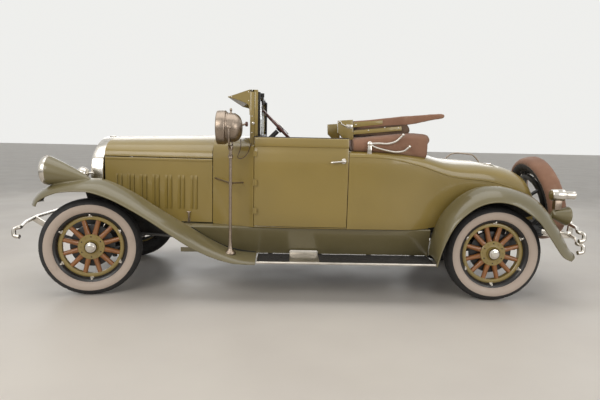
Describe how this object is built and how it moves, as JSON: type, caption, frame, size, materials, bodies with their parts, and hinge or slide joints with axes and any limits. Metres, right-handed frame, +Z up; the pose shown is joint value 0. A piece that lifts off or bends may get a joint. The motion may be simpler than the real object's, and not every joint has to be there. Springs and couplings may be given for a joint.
{
  "type": "1920s convertible coupe car",
  "caption": "Two-door open touring coupe with a long centre-hinged hood, swept fenders, wood-spoked wheels, folded canvas top, rumble seat and rear-mounted spare.",
  "frame": {"origin": "on the ground, in the car's centre plane, midway between the two axles", "axes": "+X forward along the car's length, +Y to the car's left, +Z up"},
  "size_m": [5.0661, 1.855, 1.783],
  "materials": {
    "body_gold": "gloss, mustard gold",
    "fender_olive": "gloss, dark olive khaki",
    "nickel": "polished nickel plate",
    "black_frame": "satin black",
    "steel": "dull steel",
    "engine_iron": "painted iron",
    "rusty_steel": "lightly rusted",
    "radiator_black": "matt black core",
    "glass": "clear flat glass",
    "rubber_mat": "ribbed rubber",
    "rubber_black": "black rubber-covered lead",
    "leather": "tan leather",
    "dash_wood": "varnished",
    "wheel_rim_brown": "dark red-brown, gloss",
    "canvas": "tan canvas",
    "tyre": "black rubber with wide whitewalls",
    "spoke_wood": "varnished hickory"
  },
  "bodies": {
    "root": {"body_rear": "body_gold", "cowl": "body_gold", "cross_members": "black_frame", "dashboard": "dash_wood", "drive_shaft": "steel", "engine_block": "engine_iron", "exhaust": "rusty_steel", "folded_top": "canvas", "frame_rails": "black_frame", "front_axle": "black_frame", "front_bumper": "nickel", "front_fender_left": "fender_olive", "front_fender_right": "fender_olive", "fuel_tank": "black_frame", "grab_rail": "nickel", "headlamps": "nickel", "horns": "nickel", "lamp_lead": "rubber_black", "leaf_springs": "black_frame", "post_lamp": "nickel", "radiator_core": "radiator_black", "radiator_shell": "nickel", "rear_axle": "black_frame", "rear_bumper": "nickel", "rear_fender_left": "fender_olive", "rear_fender_right": "fender_olive", "running_boards": "rubber_mat", "seats": "leather", "spare_carrier": "black_frame", "spare_rim": "black_frame", "spare_tyre": "tyre", "splash_aprons": "fender_olive", "steering_column": "black_frame", "tail_lamps": "nickel", "top_irons": "nickel", "visor": "body_gold", "windshield_frame": "body_gold", "windshield_glass": "glass"},
    "knuckle_left": {"knuckle_left": "steel"},
    "knuckle_right": {"knuckle_right": "steel"},
    "tie_rod": {"tie_rod": "steel"},
    "drag_link": {"drag_link": "steel"},
    "pitman_arm": {"pitman_arm": "steel"},
    "steering_wheel": {"steering_wheel": "wheel_rim_brown"},
    "wheel_front_left": {"wheel_front_left": "spoke_wood", "tyre_front_left": "tyre"},
    "wheel_front_right": {"wheel_front_right": "spoke_wood", "tyre_front_right": "tyre"},
    "wheel_rear_left": {"wheel_rear_left": "spoke_wood", "tyre_rear_left": "tyre"},
    "wheel_rear_right": {"wheel_rear_right": "spoke_wood", "tyre_rear_right": "tyre"},
    "door_left": {"door_left": "body_gold"},
    "door_right": {"door_right": "body_gold"},
    "hood_top_left": {"hood_top_left": "body_gold"},
    "hood_top_right": {"hood_top_right": "body_gold"},
    "hood_side_left": {"hood_side_left": "body_gold"},
    "hood_side_right": {"hood_side_right": "body_gold"},
    "rumble_lid": {"rumble_lid": "body_gold"}
  },
  "joints": [
    {"name": "steer", "type": "hinge", "parent": "root", "child": "knuckle_left", "pos_m": [1.7525, 0.61, 0.419], "axis": [0, 0, 1], "range_deg": [-39.4, 16.6]},
    {"name": "steer_right", "type": "hinge", "parent": "root", "child": "knuckle_right", "pos_m": [1.7525, -0.61, 0.419], "axis": [0, 0, 1], "range_deg": [-39.4, 16.6]},
    {"name": "tie_rod_pivot", "type": "hinge", "parent": "knuckle_left", "child": "tie_rod", "pos_m": [1.58389, 0.576, 0.34], "axis": [0, 0, 1], "range_deg": [-16.6, 39.4]},
    {"name": "drag_link_pivot", "type": "hinge", "parent": "knuckle_left", "child": "drag_link", "pos_m": [1.79697, 0.38944, 0.512], "axis": [0, 0, 1], "range_deg": [-16.6, 39.4]},
    {"name": "pitman_swing", "type": "hinge", "parent": "root", "child": "pitman_arm", "pos_m": [1.008, 0.369, 0.64], "axis": [0, -1, 0], "range_deg": [-46.67, 19.67]},
    {"name": "steering_wheel_turn", "type": "hinge", "parent": "root", "child": "steering_wheel", "pos_m": [0.132, 0.345, 1.466], "axis": [-0.7071, 0, 0.7071], "range_deg": [-512.2, 215.8]},
    {"name": "door_left_hinge", "type": "hinge", "parent": "root", "child": "door_left", "pos_m": [0.344, 0.702, 0.997], "axis": [0, 0, -1], "range_deg": [0, 65]},
    {"name": "door_right_hinge", "type": "hinge", "parent": "root", "child": "door_right", "pos_m": [0.344, -0.702, 0.997], "axis": [0, 0, 1], "range_deg": [0, 65]},
    {"name": "hood_left_hinge", "type": "hinge", "parent": "root", "child": "hood_top_left", "pos_m": [1.222, 0, 1.37], "axis": [0.9995, 0, -0.032], "range_deg": [0, 55]},
    {"name": "hood_right_hinge", "type": "hinge", "parent": "root", "child": "hood_top_right", "pos_m": [1.222, 0, 1.37], "axis": [-0.9995, 0, 0.032], "range_deg": [0, 55]},
    {"name": "hood_side_left_hinge", "type": "hinge", "parent": "hood_top_left", "child": "hood_side_left", "pos_m": [1.222, 0.449, 1.185], "axis": [0.9947, -0.1027, 0], "range_deg": [-46.75, 0]},
    {"name": "hood_side_right_hinge", "type": "hinge", "parent": "hood_top_right", "child": "hood_side_right", "pos_m": [1.222, -0.449, 1.185], "axis": [-0.9947, -0.1027, 0], "range_deg": [-46.75, 0]},
    {"name": "rumble_lid_hinge", "type": "hinge", "parent": "root", "child": "rumble_lid", "pos_m": [-1.8775, 0, 1.176], "axis": [0, -1, 0], "range_deg": [0, 100]},
    {"name": "wheel_front_left_spin", "type": "hinge", "parent": "knuckle_left", "child": "wheel_front_left", "pos_m": [1.73352, 0.70411, 0.419], "axis": [-0.1977, 0.9803, 0], "continuous": true},
    {"name": "wheel_front_right_spin", "type": "hinge", "parent": "knuckle_right", "child": "wheel_front_right", "pos_m": [1.77148, -0.70411, 0.419], "axis": [-0.1977, 0.9803, 0], "continuous": true},
    {"name": "wheel_rear_left_spin", "type": "hinge", "parent": "root", "child": "wheel_rear_left", "pos_m": [-1.7525, 0.706, 0.419], "axis": [0, 1, 0], "continuous": true},
    {"name": "wheel_rear_right_spin", "type": "hinge", "parent": "root", "child": "wheel_rear_right", "pos_m": [-1.7525, -0.706, 0.419], "axis": [0, 1, 0], "continuous": true}
  ],
  "couplings": [
    {"joint": "steer_right", "follows": "steer", "ratio": 1},
    {"joint": "tie_rod_pivot", "follows": "steer", "ratio": -1},
    {"joint": "drag_link_pivot", "follows": "steer", "ratio": -1},
    {"joint": "pitman_swing", "follows": "steer", "ratio": 1.1842},
    {"joint": "steering_wheel_turn", "follows": "steer", "ratio": 13},
    {"joint": "hood_side_left_hinge", "follows": "hood_left_hinge", "ratio": -0.85},
    {"joint": "hood_side_right_hinge", "follows": "hood_right_hinge", "ratio": -0.85}
  ]
}
